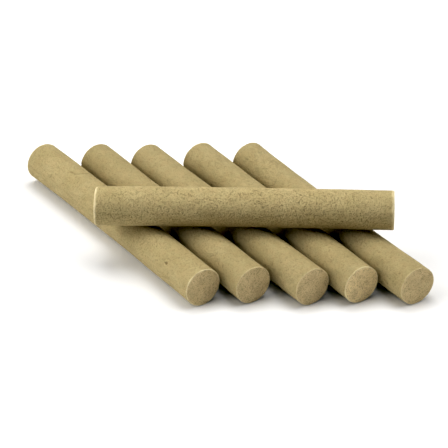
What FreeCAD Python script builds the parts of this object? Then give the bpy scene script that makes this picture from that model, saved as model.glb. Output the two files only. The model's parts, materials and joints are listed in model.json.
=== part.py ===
import FreeCAD, Part
import Sketcher
import os

# A set of six round foam sanding sticks.
#
# Five sticks lie side by side in a row, each one further forward than the one on its left, and the
# sixth lies across the top of them.  Every stick is one solid rod of foam, cut square at both ends,
# with nothing inside it.
#
# The frame, in millimetres: +X to the right along the cross stick, +Y to the back, +Z up.  The
# origin is on the table, in the middle of the set's bounding box.

ROW_COUNT = 5
MIDDLE_NUMBER = (ROW_COUNT + 1) / 2

# The driving dimensions.  Angles are in degrees, everything else is in millimetres.
SIZES = {
    "stick_diameter": 12.0,
    "stick_length": 90.0,
    "edge_round": 0.3,
    "row_angle": 126.8,  # from the cross stick's +X round to the row sticks' back ends
    "row_gap": 1.05,  # between the sides of two neighbours, on average
    "row_stagger": 9.05,  # each stick lies this much further forward than the one on its left
    "row_across": 0.55,  # the middle of the row, measured square to its sticks
    "row_along": -0.35,  # the middle of the row, measured along its sticks
    "cross_x": 7.4,
    "cross_y": -11.9,
    "cross_gap": 0.1,  # left under the cross stick, which would otherwise touch the row
}

# The row isn't quite even.  Each of its sticks has its own extra length, turn about the vertical,
# slip along its own length and shift to the right.
ROW_STICKS = {
    1: {"extra": 1.5, "turn": 0.8, "slip": 0.0, "shift": -0.3},
    2: {"extra": -1.0, "turn": 0.0, "slip": 0.4, "shift": -0.1},
    3: {"extra": 0.5, "turn": 0.6, "slip": -0.6, "shift": 0.0},
    4: {"extra": -1.0, "turn": -0.6, "slip": 0.3, "shift": 0.4},
    5: {"extra": 0.0, "turn": -0.6, "slip": -0.1, "shift": 0.0},
}


def fill_sheet(doc):
    """Put every driving dimension into the sheet under its own alias."""
    cells = dict(SIZES)
    for number, differences in ROW_STICKS.items():
        for name, value in differences.items():
            cells[f"{name}_{number}"] = value
    sheet = doc.addObject("Spreadsheet::Sheet", "Sizes")
    for line, (alias, value) in enumerate(cells.items(), start=1):
        sheet.set(f"A{line}", alias)
        sheet.set(f"B{line}", str(value))
        sheet.setAlias(f"B{line}", alias)
    doc.recompute()


def origin_plane(body, role):
    """One of the body's own three origin planes."""
    for feature in body.Origin.OriginFeatures:
        if feature.Role == role:
            return feature
    raise RuntimeError(f"{body.Name} has no {role}")


def draw_section(body):
    """The stick's round section, square to the body's own X axis."""
    section = body.newObject("Sketcher::SketchObject", f"{body.Name}_section")
    section.AttachmentSupport = [(origin_plane(body, "YZ_Plane"), "")]
    section.MapMode = "FlatFace"
    middle = FreeCAD.Vector(0, 0, 0)
    normal = FreeCAD.Vector(0, 0, 1)
    radius = SIZES["stick_diameter"] / 2
    circle = section.addGeometry(Part.Circle(middle, normal, radius))
    circle_centre = (circle, 3)
    sketch_origin = (-1, 1)
    section.addConstraint(Sketcher.Constraint("Coincident", *circle_centre, *sketch_origin))
    diameter = section.addConstraint(Sketcher.Constraint("Diameter", circle, 2 * radius))
    section.renameConstraint(diameter, "diameter")
    section.setExpression("Constraints.diameter", "Sizes.stick_diameter")
    return section


def make_stick(doc, name, length):
    """One rod, with its middle at the body's origin and its length along the body's X axis."""
    body = doc.addObject("PartDesign::Body", name)
    body.Label = name
    section = draw_section(body)

    rod = body.newObject("PartDesign::Pad", f"{name}_rod")
    rod.Profile = section
    rod.SideType = "Symmetric"
    rod.setExpression("Length", length)
    doc.recompute()

    cut_edges = [
        f"Edge{number}"
        for number, edge in enumerate(rod.Shape.Edges, start=1)
        if isinstance(edge.Curve, Part.Circle)
    ]
    rounded = body.newObject("PartDesign::Fillet", f"{name}_cut_edges")
    rounded.Base = (rod, cut_edges)
    rounded.setExpression("Radius", "Sizes.edge_round")
    return body


def place(body, x, y, height, angle):
    """Bind the body's place, and its turn about the vertical, to the sheet."""
    body.setExpression("Placement.Base.x", x)
    body.setExpression("Placement.Base.y", y)
    body.setExpression("Placement.Base.z", height)
    body.setExpression("Placement.Rotation.Angle", angle)


def make_row_stick(doc, number):
    """A stick of the bottom row.  Its own +X points to its back end."""
    step = number - MIDDLE_NUMBER
    pitch = "(Sizes.stick_diameter + Sizes.row_gap)"
    across = f"(Sizes.row_across + {step} * {pitch} + Sizes.shift_{number})"
    along = f"(Sizes.row_along - {step} * Sizes.row_stagger + Sizes.slip_{number})"
    body = make_stick(doc, f"row_stick_{number}", f"Sizes.stick_length + Sizes.extra_{number}")
    place(
        body,
        x=f"{across} * sin(Sizes.row_angle) + {along} * cos(Sizes.row_angle)",
        y=f"{along} * sin(Sizes.row_angle) - {across} * cos(Sizes.row_angle)",
        height="Sizes.stick_diameter / 2",
        angle=f"Sizes.row_angle + Sizes.turn_{number}",
    )
    return body


def make_cross_stick(doc):
    """The stick that lies across the top of the row."""
    body = make_stick(doc, "cross_stick", "Sizes.stick_length")
    place(
        body,
        x="Sizes.cross_x",
        y="Sizes.cross_y",
        height="1.5 * Sizes.stick_diameter + Sizes.cross_gap",
        angle="0",
    )
    return body


def check(doc, bodies):
    """Stop if an object failed to build, or if a stick isn't one valid solid."""
    for item in doc.Objects:
        if "Invalid" in item.State or "Error" in item.State:
            raise RuntimeError(f"{item.Name} failed: {item.State}")
    for body in bodies:
        shape = body.Shape
        if shape.isNull() or not shape.isValid() or len(shape.Solids) != 1:
            raise RuntimeError(f"{body.Label} isn't one valid solid")


def main():
    doc = FreeCAD.newDocument("sanding_sticks")
    fill_sheet(doc)
    bodies = [make_row_stick(doc, number) for number in ROW_STICKS]
    bodies.append(make_cross_stick(doc))
    doc.recompute()
    check(doc, bodies)

    os.makedirs("parts", exist_ok=True)
    for body in bodies:
        body.Shape.exportStep(f"parts/{body.Label}.step")
        box = body.Shape.optimalBoundingBox()
        print(
            f"{body.Label}: volume {body.Shape.Volume:.1f}"
            f" x {box.XMin:.2f}..{box.XMax:.2f} y {box.YMin:.2f}..{box.YMax:.2f}"
            f" z {box.ZMin:.2f}..{box.ZMax:.2f}"
        )


main()
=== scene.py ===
"""Six foam sanding sticks: five in a staggered row and one laid across the top of them."""

import json
import math
from dataclasses import dataclass

import bpy
import numpy as np
from mathutils import Matrix, Vector
from mathutils.kdtree import KDTree


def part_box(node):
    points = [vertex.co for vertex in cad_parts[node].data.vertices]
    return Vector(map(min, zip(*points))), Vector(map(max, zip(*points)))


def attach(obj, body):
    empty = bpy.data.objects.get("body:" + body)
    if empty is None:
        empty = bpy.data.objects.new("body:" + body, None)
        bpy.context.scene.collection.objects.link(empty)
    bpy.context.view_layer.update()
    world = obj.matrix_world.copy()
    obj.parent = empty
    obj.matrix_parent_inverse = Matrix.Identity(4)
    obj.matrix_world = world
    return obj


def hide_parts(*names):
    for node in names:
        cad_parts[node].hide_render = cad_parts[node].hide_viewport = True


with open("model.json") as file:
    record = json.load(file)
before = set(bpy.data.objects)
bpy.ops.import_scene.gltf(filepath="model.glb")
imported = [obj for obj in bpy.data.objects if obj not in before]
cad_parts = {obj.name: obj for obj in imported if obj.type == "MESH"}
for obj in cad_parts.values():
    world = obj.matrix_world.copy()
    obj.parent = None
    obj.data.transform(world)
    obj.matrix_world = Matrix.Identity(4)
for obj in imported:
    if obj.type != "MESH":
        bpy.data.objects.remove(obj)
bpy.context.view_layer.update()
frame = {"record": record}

MM = 0.001

# The surface of a stick.
POINT_SPACING = 0.2 * MM
POINT_JITTER = 0.22  # of the spacing, so that the points lie in no visible rows
SKIN_INSET = 0.03 * MM  # the foam's mean surface lies this much inside the CAD rod
EDGE_STEPS = 4  # rings of points round each rounded edge, less one

# The cells that the knife opened.
CELL_SPACING = 0.5 * MM
CELL_SCATTER = CELL_SPACING / 3  # how far their middles stray from the points of the mesh
SHALLOW_CELL = (0.05 * MM, 0.12 * MM)
DEEP_CELL = (0.14 * MM, 0.19 * MM)
DEEP_SHARE = 0.06
DEEPEST = DEEP_CELL[1]

# The lip that the knife raised round each cut end.  Its height changes round the stick.
LIP_HEIGHT = 0.07 * MM
LIP_MEAN = 0.8
LIP_CHANGE = 0.09
LIP_LOBES = (2, 3, 5, 9, 14)

# A worn end is rubbed down over this many times the depth of its wear.
WORN_REACH = 2.2

# Slow unevenness of the rod: waves of lengths between these two, each with fewer than so many lobes
# round the rod.
WAVE_HEIGHT = 0.035 * MM
WAVE_COUNT = 9
WAVE_LENGTH = (9 * MM, 50 * MM)
WAVE_LOBES = 4


@dataclass
class Mark:
    """A crease through some points of a stick's skin, or at one point a single large pore.

    Each point is (how far from the stick's middle, degrees round it, where 90 is its top).
    """

    width: float  # from its middle to where it is about a third as deep
    depth: float
    points: tuple


@dataclass
class Stick:
    """What tells one stick from the next.  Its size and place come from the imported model."""

    node: str
    front: str  # the mount at its front or right end
    seed: int
    bow: float  # how far its middle curves sideways
    edge_radius: float = 0.22 * MM
    lip_width: float = 0.38 * MM
    worn_end: float = 0.0  # how far its far end's upper edge is rubbed away
    relief: float = 0.14 * MM  # how deep its fine pits look
    grain: float = 0.15  # how much the painted shade in those pits darkens its side
    tone: float = 0.96  # how light its side is; on the cross stick raised as painted light
    end_tone_with_painted_light: float = 1.0  # how light its cut ends are, as painted light
    rim: float = 0.3  # how strong the painted highlight on its cut edges is
    marks: tuple = ()  # its creases and large pores

    def place(self):
        """Reads where the stick lies, and its size."""
        low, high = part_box(self.node)
        mounts = {m["name"]: m for m in frame["record"]["mounts"]}
        end = Vector(mounts[self.front]["pos_m"])
        self.along = Vector(mounts[self.front]["axis"]).normalized()
        self.middle = (low + high) / 2
        self.half_length = (end - self.middle).dot(self.along)
        self.outer_radius = (high.z - low.z) / 2
        self.radius = self.outer_radius - SKIN_INSET


def outline(stick):
    """The rings of a rod with rounded edges, from the middle of one end to the middle of the other.

    Each ring is (x, distance from the axis, the normal's x part, the normal's outward part).
    """
    half_length, edge_radius = stick.half_length, stick.edge_radius
    flat = stick.radius - edge_radius
    reach = half_length - edge_radius
    cap_rings = round(flat / POINT_SPACING)
    side_rings = round(2 * reach / POINT_SPACING)
    cap = [(half_length, flat * i / cap_rings, 1.0, 0.0) for i in range(1, cap_rings)]
    edge = []
    for i in range(EDGE_STEPS + 1):
        turn = math.pi / 2 * i / EDGE_STEPS
        x = reach + edge_radius * math.cos(turn)
        away = flat + edge_radius * math.sin(turn)
        edge.append((x, away, math.cos(turn), math.sin(turn)))
    near_half = cap + edge
    far_half = [(-x, away, -nx, nr) for x, away, nx, nr in reversed(near_half)]
    side = [(reach - 2 * reach * i / side_rings, stick.radius, 0.0, 1.0) for i in range(1, side_rings)]
    return np.array(near_half + side + far_half)


def surface_points(stick, rings, around, rng):
    """Points and normals of the plain rod, with its two end middles first and last."""
    x, away, nx, nr = (column[:, None] for column in rings.T)
    turn = np.linspace(0, 2 * math.pi, around, endpoint=False)[None, :]
    on_side = np.abs(x) < stick.half_length - stick.edge_radius - POINT_SPACING
    shake = rng.uniform(-POINT_JITTER, POINT_JITTER, (2, len(rings), around))
    x = x + on_side * shake[0] * POINT_SPACING
    turn = turn + on_side * shake[1] * 2 * math.pi / around
    shape = (len(rings), around)
    points = np.stack(
        [np.broadcast_to(x, shape), away * np.cos(turn), away * np.sin(turn)], axis=-1
    ).reshape(-1, 3)
    normals = np.stack(
        [np.broadcast_to(nx, shape), nr * np.cos(turn), nr * np.sin(turn)], axis=-1
    ).reshape(-1, 3)
    tip = np.array([[stick.half_length, 0.0, 0.0]])
    out = np.array([[1.0, 0.0, 0.0]])
    return np.vstack([tip, points, -tip]), np.vstack([out, normals, -out])


def rod_faces(ring_count, around):
    """Quads between the rings, and a fan of triangles at each end."""
    first = 1 + around * np.arange(ring_count - 1)[:, None]
    here = np.arange(around)[None, :]
    after = (here + 1) % around
    quads = np.stack(
        [first + here, first + around + here, first + around + after, first + after], axis=-1
    ).reshape(-1, 4)
    last = 1 + around * (ring_count - 1)
    tip = last + around
    here, after = here[0], after[0]
    front = [(0, 1 + a, 1 + b) for a, b in zip(here, after)]
    back = [(tip, last + b, last + a) for a, b in zip(here, after)]
    return quads.tolist() + front + back


def waviness(points, rng):
    """A slow unevenness of the skin, as height along the normal."""
    height = np.zeros(len(points))
    turn = np.arctan2(points[:, 2], points[:, 1])
    for _ in range(WAVE_COUNT):
        lobes = rng.integers(0, WAVE_LOBES)
        length = rng.uniform(*WAVE_LENGTH)
        phase = rng.uniform(0, 2 * math.pi)
        height += np.sin(2 * math.pi * points[:, 0] / length + lobes * turn + phase)
    return height * WAVE_HEIGHT / math.sqrt(WAVE_COUNT)


def open_cells(points, area, rng):
    """How deep each point lies in the cell that the knife opened there."""
    count = int(area / CELL_SPACING**2)
    centres = points[rng.integers(0, len(points), count)]
    centres = centres + rng.normal(0, CELL_SCATTER, centres.shape)
    depths = rng.uniform(*SHALLOW_CELL, count)
    deep = rng.random(count) < DEEP_SHARE
    depths[deep] = rng.uniform(*DEEP_CELL, deep.sum())
    tree = KDTree(count)
    for index, centre in enumerate(centres):
        tree.insert(centre, index)
    tree.balance()
    result = np.empty(len(points))
    for index, point in enumerate(points):
        (_, cell, near), (_, _, next_near) = tree.find_n(point, 2)
        across = 2 * near / (near + next_near)
        result[index] = depths[cell] * (1 - across * across)
    return result


def from_line(places, start, end):
    """How far each place lies from the straight line between two others, which may be the same."""
    run = end - start
    square = run @ run
    share = np.clip((places - start) @ run / square, 0, 1) if square else np.zeros(len(places))
    return np.linalg.norm(places - start - share[:, None] * run, axis=1)


def marked(stick, points):
    """How deep each point lies in its stick's creases and large pores."""
    turn = np.arctan2(points[:, 2], points[:, 1])
    unrolled = np.stack([points[:, 0], turn * stick.radius], axis=-1)
    deepest = np.zeros(len(points))
    for mark in stick.marks:
        path = [np.array([x, math.radians(angle) * stick.radius]) for x, angle in mark.points]
        for start, end in zip(path, path[1:] or path):
            away = from_line(unrolled, start, end)
            deepest = np.maximum(deepest, mark.depth * np.exp(-((away / mark.width) ** 2)))
    return deepest


def lip(stick, points, rng):
    """1 on the cut edge, falling to 0 on both sides of it, and uneven round the stick."""
    away = np.hypot(points[:, 1], points[:, 2])
    from_edge = np.hypot(stick.half_length - np.abs(points[:, 0]), stick.radius - away)
    turn = np.arctan2(points[:, 2], points[:, 1])
    uneven = np.full(len(points), LIP_MEAN)
    for lobes in LIP_LOBES:
        uneven += LIP_CHANGE * np.sin(lobes * turn + rng.uniform(0, 2 * math.pi))
    return np.exp(-((from_edge / stick.lip_width) ** 2)) * uneven


def bend(stick, points):
    """Curves the stick sideways, about its mean line."""
    share = points[:, 0] / stick.half_length
    mean_square = 1 / 3
    points[:, 1] += stick.bow * (mean_square - share * share)


def rub(stick, points):
    """Rounds off the upper edge of the far end, as handling does."""
    if not stick.worn_end:
        return
    reach = WORN_REACH * stick.worn_end
    from_end = stick.half_length + points[:, 0]
    near = np.clip(1 - from_end / reach, 0, 1)
    up = np.clip(points[:, 2] / stick.radius, 0, 1) ** 2
    points[:, 2] -= stick.worn_end * near**2 * up


def add_values(mesh, name, values):
    """Stores one number per point, for the material to read."""
    attribute = mesh.attributes.new(name, "FLOAT", "POINT")
    attribute.data.foreach_set("value", values.astype(np.float32))


def foam_stick(stick):
    """One stick as a dense mesh, in its own frame: +X along it, +Z up."""
    rng = np.random.default_rng(stick.seed)
    rings = outline(stick)
    around = round(2 * math.pi * stick.radius / POINT_SPACING)
    points, normals = surface_points(stick, rings, around, rng)
    area = 2 * math.pi * stick.radius * (2 * stick.half_length + stick.radius)

    cells = np.maximum(open_cells(points, area, rng), marked(stick, points))
    edge = lip(stick, points, rng)
    height = waviness(points, rng) + LIP_HEIGHT * edge - cells
    shaped = points + normals * height[:, None]
    bend(stick, shaped)
    rub(stick, shaped)
    shaped[:, 2] = np.clip(shaped[:, 2], -stick.outer_radius, stick.outer_radius)

    name = stick.node + "_foam"
    mesh = bpy.data.meshes.new(name)
    mesh.from_pydata(shaped.tolist(), [], rod_faces(len(rings), around))
    mesh.shade_smooth()
    add_values(mesh, "pore", np.clip(cells / DEEPEST, 0, 1))
    add_values(mesh, "edge", np.clip(edge, 0, 1))
    add_values(mesh, "cut", np.abs(normals[:, 0]))
    mesh.materials.append(foam_material(stick, name))

    piece = bpy.data.objects.new(name, mesh)
    bpy.context.scene.collection.objects.link(piece)
    up = Vector((0, 0, 1))
    side = up.cross(stick.along)
    turn = Matrix((stick.along, side, up)).transposed().to_4x4()
    piece.matrix_world = Matrix.Translation(stick.middle) @ turn
    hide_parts(stick.node)
    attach(piece, stick.node)


def srgb(red, green, blue):
    """A colour given as screen values from 0 to 255, as the linear colour that shaders take."""
    linear = []
    for value in (red, green, blue):
        share = value / 255
        linear.append(share / 12.92 if share <= 0.04045 else ((share + 0.055) / 1.055) ** 2.4)
    return (*linear, 1.0)


class Nodes:
    """A short way to lay out a material's nodes."""

    def __init__(self, name):
        self.material = bpy.data.materials.new(name)
        self.material.use_nodes = True
        self.tree = self.material.node_tree
        self.tree.nodes.clear()

    def add(self, kind, inputs=None, **settings):
        """A new node.  Each of its inputs is given another node's output or a plain value."""
        node = self.tree.nodes.new(kind)
        for key, value in settings.items():
            setattr(node, key, value)
        for key, value in (inputs or {}).items():
            if isinstance(value, bpy.types.NodeSocket):
                self.tree.links.new(value, node.inputs[key])
            else:
                node.inputs[key].default_value = value
        return node

    def value(self, name):
        """The number that the mesh holds at each point under this name."""
        return self.add("ShaderNodeAttribute", attribute_name=name).outputs["Fac"]

    def noise(self, point, scale, detail=3.0, roughness=0.55):
        inputs = {"Vector": point, "Scale": scale, "Detail": detail, "Roughness": roughness}
        return self.add("ShaderNodeTexNoise", inputs).outputs["Fac"]

    def stretch(self, value, low, high, to_low=0.0, to_high=1.0):
        """A value carried over from one range to another, and held within it."""
        inputs = {0: value, 1: low, 2: high, 3: to_low, 4: to_high}
        return self.add("ShaderNodeMapRange", inputs).outputs[0]

    def pits(self, point, scale, smallest, largest):
        """1 inside round pits of mixed sizes, 0 on the walls between them."""
        cell = self.add("ShaderNodeTexVoronoi", {"Vector": point, "Scale": scale}).outputs
        size = self.stretch(cell["Color"], *PIT_MIX, smallest, largest)
        return self.stretch(self.math("SUBTRACT", size, cell["Distance"]), *PIT_SLOPE)

    def mix(self, share, first, second, blend="MIX"):
        inputs = {0: share, 6: first, 7: second}
        return self.add("ShaderNodeMix", inputs, data_type="RGBA", blend_type=blend).outputs[2]

    def shade(self, colour, tone):
        """A colour made lighter or darker."""
        return self.mix(1.0, colour, (tone, tone, tone, 1.0), "MULTIPLY")

    def math(self, operation, first, second):
        return self.add("ShaderNodeMath", {0: first, 1: second}, operation=operation).outputs[0]


# The foam's colours, as screen values.
SIDE_COLOURS = ((183, 168, 124), (191, 176, 133))
# Paler than the side: painted light on the cut ends.
END_COLOURS_WITH_PAINTED_LIGHT = ((208, 189, 145), (217, 198, 156))
MOTTLE_COLOUR = (190, 164, 121)
STAIN_COLOUR = (166, 155, 116)
WALL_COLOUR = (232, 217, 170)
# Painted shade inside the fine pits and the pits.
PAINTED_FINE_PIT_SHADE = (150, 131, 84)
PAINTED_PIT_SHADE = (104, 87, 48)
# Painted shade in the hollows, creases and large pores of the mesh.
PAINTED_PORE_SHADE = (110, 92, 50)
# Painted highlight on the lip round each cut end.
PAINTED_RIM_HIGHLIGHT = (236, 222, 180)

# How fine each pattern is: about so many of its cells or blots go into a metre.
CLOUDS = 110.0
STAINS = 300.0
MOTTLES = 420.0
WALLS = 1900.0
PITS = 2800.0
FINE_PITS = 4700.0

# The stretch of a pattern's own values over which it goes from nothing to all of its strength.
BLOT_SLOPE = (0.35, 0.65)
STAIN_SLOPE = (0.5, 0.7)
WALL_SLOPE = (0.45, 0.7)
PIT_SLOPE = (-0.05, 0.12)
PORE_SHADE_SLOPE = (0.1, 1.0)
RIM_HIGHLIGHT_SLOPE = (0.2, 0.7)
ROUGHNESS_SLOPE = (0.3, 0.7)

# The smallest and largest pits, as shares of the distance between two of them.  A pit's size is
# picked by a random value: below the first number of the mix it is the smallest, above the second
# the largest.
PIT_SIZES = (0.05, 0.5)
FINE_PIT_SIZES = (0.1, 0.5)
PIT_MIX = (0.2, 0.8)

# How strongly each pattern colours the foam at most.
MOTTLE_SHARE = 0.25
SIDE_STAIN = 0.1
END_STAIN = 0.18
WALL_SHARE = 0.5
END_GRAIN = 0.34
PORE_SHADE_SHARE = 0.4

FINE_PIT_DEPTH = 0.4  # next to a pit's depth of 1
PATTERN_SHIFT = (0.137, 0.071, 0.053)  # metres between the patterns of two sticks, for each step of seed
ROUGHNESS = (0.86, 0.96)
GLOSS = 0.25


def foam_material(stick, name):
    """Tan cut foam, with a pattern that no other stick has."""
    n = Nodes(name)
    place = n.add("ShaderNodeTexCoord").outputs["Object"]
    shift = tuple(stick.seed * step for step in PATTERN_SHIFT)
    point = n.add("ShaderNodeVectorMath", {0: place, 1: shift}, operation="ADD").outputs[0]
    pore, edge, cut = n.value("pore"), n.value("edge"), n.value("cut")

    # The side and the cut end, each in two tones that drift into one another.  The cut end is made paler
    # than the side as painted light.
    cloud = n.stretch(n.noise(point, CLOUDS), *BLOT_SLOPE)
    side = n.mix(cloud, *(srgb(*tone) for tone in SIDE_COLOURS))
    side = n.shade(side, stick.tone)
    end = n.mix(cloud, *(srgb(*tone) for tone in END_COLOURS_WITH_PAINTED_LIGHT))
    end = n.shade(end, stick.end_tone_with_painted_light)
    colour = n.mix(cut, side, end)

    # Blots a few millimetres wide.
    mottle = n.stretch(n.noise(point, MOTTLES, detail=2.0), *BLOT_SLOPE)
    colour = n.mix(n.stretch(mottle, 0.0, 1.0, 0.0, MOTTLE_SHARE), colour, srgb(*MOTTLE_COLOUR))
    stain = n.stretch(n.noise(point, STAINS, detail=2.0), *STAIN_SLOPE)
    stain_share = n.stretch(cut, 0.0, 1.0, SIDE_STAIN, END_STAIN)
    colour = n.mix(n.math("MULTIPLY", stain, stain_share), colour, srgb(*STAIN_COLOUR))

    # Pale cell walls, and pits at two scales, darkened with painted shade.
    most = n.stretch(cut, 0.0, 1.0, stick.grain, END_GRAIN)
    grain = n.noise(point, WALLS, detail=2.0, roughness=0.6)
    light = n.math("MULTIPLY", n.stretch(grain, *WALL_SLOPE, 0.0, WALL_SHARE), most)
    colour = n.mix(light, colour, srgb(*WALL_COLOUR))
    pits = n.pits(point, PITS, *PIT_SIZES)
    fine_pits = n.pits(point, FINE_PITS, *FINE_PIT_SIZES)
    # Painted shade in the pits, where the bump sinks the surface.
    colour = n.mix(n.math("MULTIPLY", fine_pits, most), colour, srgb(*PAINTED_FINE_PIT_SHADE))
    colour = n.mix(n.math("MULTIPLY", pits, most), colour, srgb(*PAINTED_PIT_SHADE))

    # The hollows and the lip that are in the mesh, with painted shade in the hollows, deeper ones darker,
    # and a painted highlight on the lip.
    colour = n.mix(n.stretch(pore, *PORE_SHADE_SLOPE, 0.0, PORE_SHADE_SHARE), colour, srgb(*PAINTED_PORE_SHADE))
    # Painted highlight on the lip.
    colour = n.mix(n.stretch(edge, *RIM_HIGHLIGHT_SLOPE, 0.0, stick.rim), colour, srgb(*PAINTED_RIM_HIGHLIGHT))

    depth = n.math("ADD", pits, n.math("MULTIPLY", fine_pits, FINE_PIT_DEPTH))
    inputs = {"Strength": 1.0, "Distance": stick.relief, "Height": depth}
    bump = n.add("ShaderNodeBump", inputs, invert=True)
    rough = n.stretch(grain, *ROUGHNESS_SLOPE, *ROUGHNESS)
    inputs = {"Base Color": colour, "Roughness": rough, "Normal": bump.outputs[0]}
    shader = n.add("ShaderNodeBsdfPrincipled", inputs)
    shader.inputs["Specular IOR Level"].default_value = GLOSS
    n.add("ShaderNodeOutputMaterial", {"Surface": shader.outputs[0]})
    return n.material


# A faint crease beside the next stick's far end, and two large pores.
ROW_STICK_1_MARKS = (
    Mark(0.22 * MM, 0.21 * MM, ((-26.5 * MM, 106), (-24 * MM, 102), (-23 * MM, 90), (-22.5 * MM, 64))),
    Mark(0.4 * MM, 0.18 * MM, ((-32.5 * MM, 157),)),
    Mark(0.4 * MM, 0.5 * MM, ((33 * MM, 143),)),
)
STICKS = (
    Stick(
        "row_stick_1",
        "row_stick_1_front_end",
        seed=11,
        bow=0.55 * MM,
        tone=1.01,
        end_tone_with_painted_light=1.15,
        rim=0.8,
        marks=ROW_STICK_1_MARKS,
    ),
    Stick("row_stick_2", "row_stick_2_front_end", seed=12, bow=0.1 * MM, tone=0.95, end_tone_with_painted_light=1.13),
    Stick("row_stick_3", "row_stick_3_front_end", seed=13, bow=-0.15 * MM, tone=0.94, end_tone_with_painted_light=1.15),
    Stick(
        "row_stick_4",
        "row_stick_4_front_end",
        seed=14,
        bow=-0.05 * MM,
        tone=0.94,
        end_tone_with_painted_light=1.37,
        rim=0.7,
    ),
    Stick("row_stick_5", "row_stick_5_front_end", seed=15, bow=-0.7 * MM, tone=0.94, end_tone_with_painted_light=1.1),
    Stick(
        "cross_stick",
        "cross_stick_right_end",
        seed=16,
        bow=0.4 * MM,
        edge_radius=0.45 * MM,
        lip_width=0.8 * MM,
        worn_end=0.9 * MM,
        relief=0.17 * MM,
        grain=0.28,
        # Painted light: lighter than the row, standing in for the bright light along its top edge.
        tone=1.14,
        end_tone_with_painted_light=1.1,
        rim=0.85,
    ),
)
for stick in STICKS:
    stick.place()
    foam_stick(stick)


def direction(azimuth, elevation):
    """The way from the set to something so many degrees right of the front, and so many up."""
    azimuth, elevation = math.radians(azimuth), math.radians(elevation)
    flat = math.cos(elevation)
    return Vector((math.sin(azimuth) * flat, -math.cos(azimuth) * flat, math.sin(elevation)))


FLOOR_RADIUS = 0.65
FLOOR_POINTS = 180
FLOOR_DROP = 0.02 * MM  # so that no stick cuts into it
FLOOR_COLOUR = (0.9, 0.9, 0.9, 1.0)
FLOOR_ROUGHNESS = 0.9


def make_floor():
    """A plain pale round floor, which ends against the backdrop before the lights fade."""
    mesh = bpy.data.meshes.new("floor")
    turns = np.linspace(0, 2 * math.pi, FLOOR_POINTS, endpoint=False)
    rim = [(FLOOR_RADIUS * math.cos(turn), FLOOR_RADIUS * math.sin(turn), 0) for turn in turns]
    mesh.from_pydata(rim, [], [tuple(range(FLOOR_POINTS))])
    floor = bpy.data.objects.new("floor", mesh)
    bpy.context.scene.collection.objects.link(floor)
    n = Nodes("floor")
    inputs = {"Base Color": FLOOR_COLOUR, "Roughness": FLOOR_ROUGHNESS}
    shader = n.add("ShaderNodeBsdfPrincipled", inputs)
    n.add("ShaderNodeOutputMaterial", {"Surface": shader.outputs[0]})
    mesh.materials.append(n.material)
    floor.location.z = -FLOOR_DROP


# Soft boxes round the set: name, degrees to the right of the front, degrees up, and watts.
LIGHTS = (
    ("top_light", 180, 75, 25.0),
    ("left_light", -80, 45, 14.5),
    ("low_left_light", -75, 20, 17.5),
    ("right_light", 95, 50, 12.5),
    ("low_right_light", 95, 20, 10.5),
)
LIGHT_DISTANCE = 2.0
LIGHT_SIZE = 1.4

# The room's light is dim in front and to the right, and stronger behind and to the left.  What
# the camera sees of the room itself is an even, pale backdrop.
ROOM_DIM = 0.04
ROOM_PALE = 0.5
PALE_SIDE = 215  # degrees to the right of the front
PALE_SPREAD = 0.6  # how squarely a way has to face the pale side to be lit in full, from 0 to 1
BACKDROP = 1.0


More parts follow.
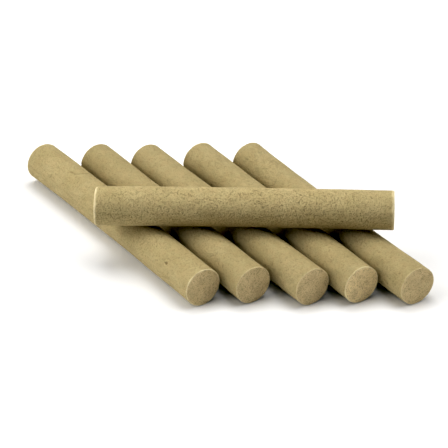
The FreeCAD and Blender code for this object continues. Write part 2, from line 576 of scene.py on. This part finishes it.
def make_room():
    """A plain pale room, whose light comes mostly from one side."""
    world = bpy.data.worlds.new("room")
    world.use_nodes = True
    tree = world.node_tree
    background = tree.nodes["Background"]
    background.inputs["Color"].default_value = (1.0, 1.0, 1.0, 1.0)
    way = tree.nodes.new("ShaderNodeTexCoord").outputs["Generated"]
    facing = tree.nodes.new("ShaderNodeVectorMath")
    facing.operation = "DOT_PRODUCT"
    facing.inputs[1].default_value = direction(PALE_SIDE, 0)
    tree.links.new(way, facing.inputs[0])
    strength = tree.nodes.new("ShaderNodeMapRange")
    strength.interpolation_type = "SMOOTHSTEP"
    strength.inputs["From Min"].default_value = 0.0
    strength.inputs["From Max"].default_value = PALE_SPREAD
    strength.inputs["To Min"].default_value = ROOM_DIM
    strength.inputs["To Max"].default_value = ROOM_PALE
    tree.links.new(facing.outputs["Value"], strength.inputs["Value"])
    shown = tree.nodes.new("ShaderNodeMix")
    shown.inputs["B"].default_value = BACKDROP
    tree.links.new(tree.nodes.new("ShaderNodeLightPath").outputs["Is Camera Ray"], shown.inputs["Factor"])
    tree.links.new(strength.outputs[0], shown.inputs["A"])
    tree.links.new(shown.outputs[0], background.inputs["Strength"])
    bpy.context.scene.world = world


def make_lights():
    """Soft boxes that face the set."""
    for name, azimuth, elevation, watts in LIGHTS:
        data = bpy.data.lights.new(name, "AREA")
        data.shape = "SQUARE"
        data.size = LIGHT_SIZE
        data.energy = watts
        lamp = bpy.data.objects.new(name, data)
        bpy.context.scene.collection.objects.link(lamp)
        toward = direction(azimuth, elevation)
        lamp.location = toward * LIGHT_DISTANCE
        lamp.rotation_euler = toward.to_track_quat("Z", "Y").to_euler()


# Where the camera stands: degrees to the right of the front, degrees up, degrees of roll, and metres.
CAMERA_SIDE = 3.48
CAMERA_UP = 31.72
CAMERA_ROLL = -0.89
CAMERA_DISTANCE = 0.7511
CAMERA_TARGET = (0.0, 0.00775, 0.0)
CAMERA_NEAREST = 0.01  # it shows nothing nearer than this

# Its lens and sensor, in millimetres.
LENS = 193.35
SENSOR = 36.0


def make_camera():
    """Looks at the set from the front, a little from the right, from well above it."""
    back = direction(CAMERA_SIDE, CAMERA_UP)
    data = bpy.data.cameras.new("camera")
    data.sensor_width = SENSOR
    data.lens = LENS
    data.clip_start = CAMERA_NEAREST
    camera = bpy.data.objects.new("camera", data)
    bpy.context.scene.collection.objects.link(camera)
    roll = Matrix.Rotation(math.radians(CAMERA_ROLL), 3, "Z")
    turn = (-back).to_track_quat("-Z", "Y").to_matrix() @ roll
    place = Vector(CAMERA_TARGET) + back * CAMERA_DISTANCE
    camera.matrix_world = Matrix.Translation(place) @ turn.to_4x4()
    bpy.context.scene.camera = camera


GAMMA = 0.84
BLACK = (0.033, 0.025, 0.018)  # light this weak, in red, green and blue, shows as black


def set_display():
    """A strong contrast, with black shadows."""
    view = bpy.context.scene.view_settings
    view.view_transform = "Standard"
    view.gamma = GAMMA
    view.use_curve_mapping = True
    view.curve_mapping.black_level = BLACK


make_floor()
make_room()
make_lights()
make_camera()
set_display()
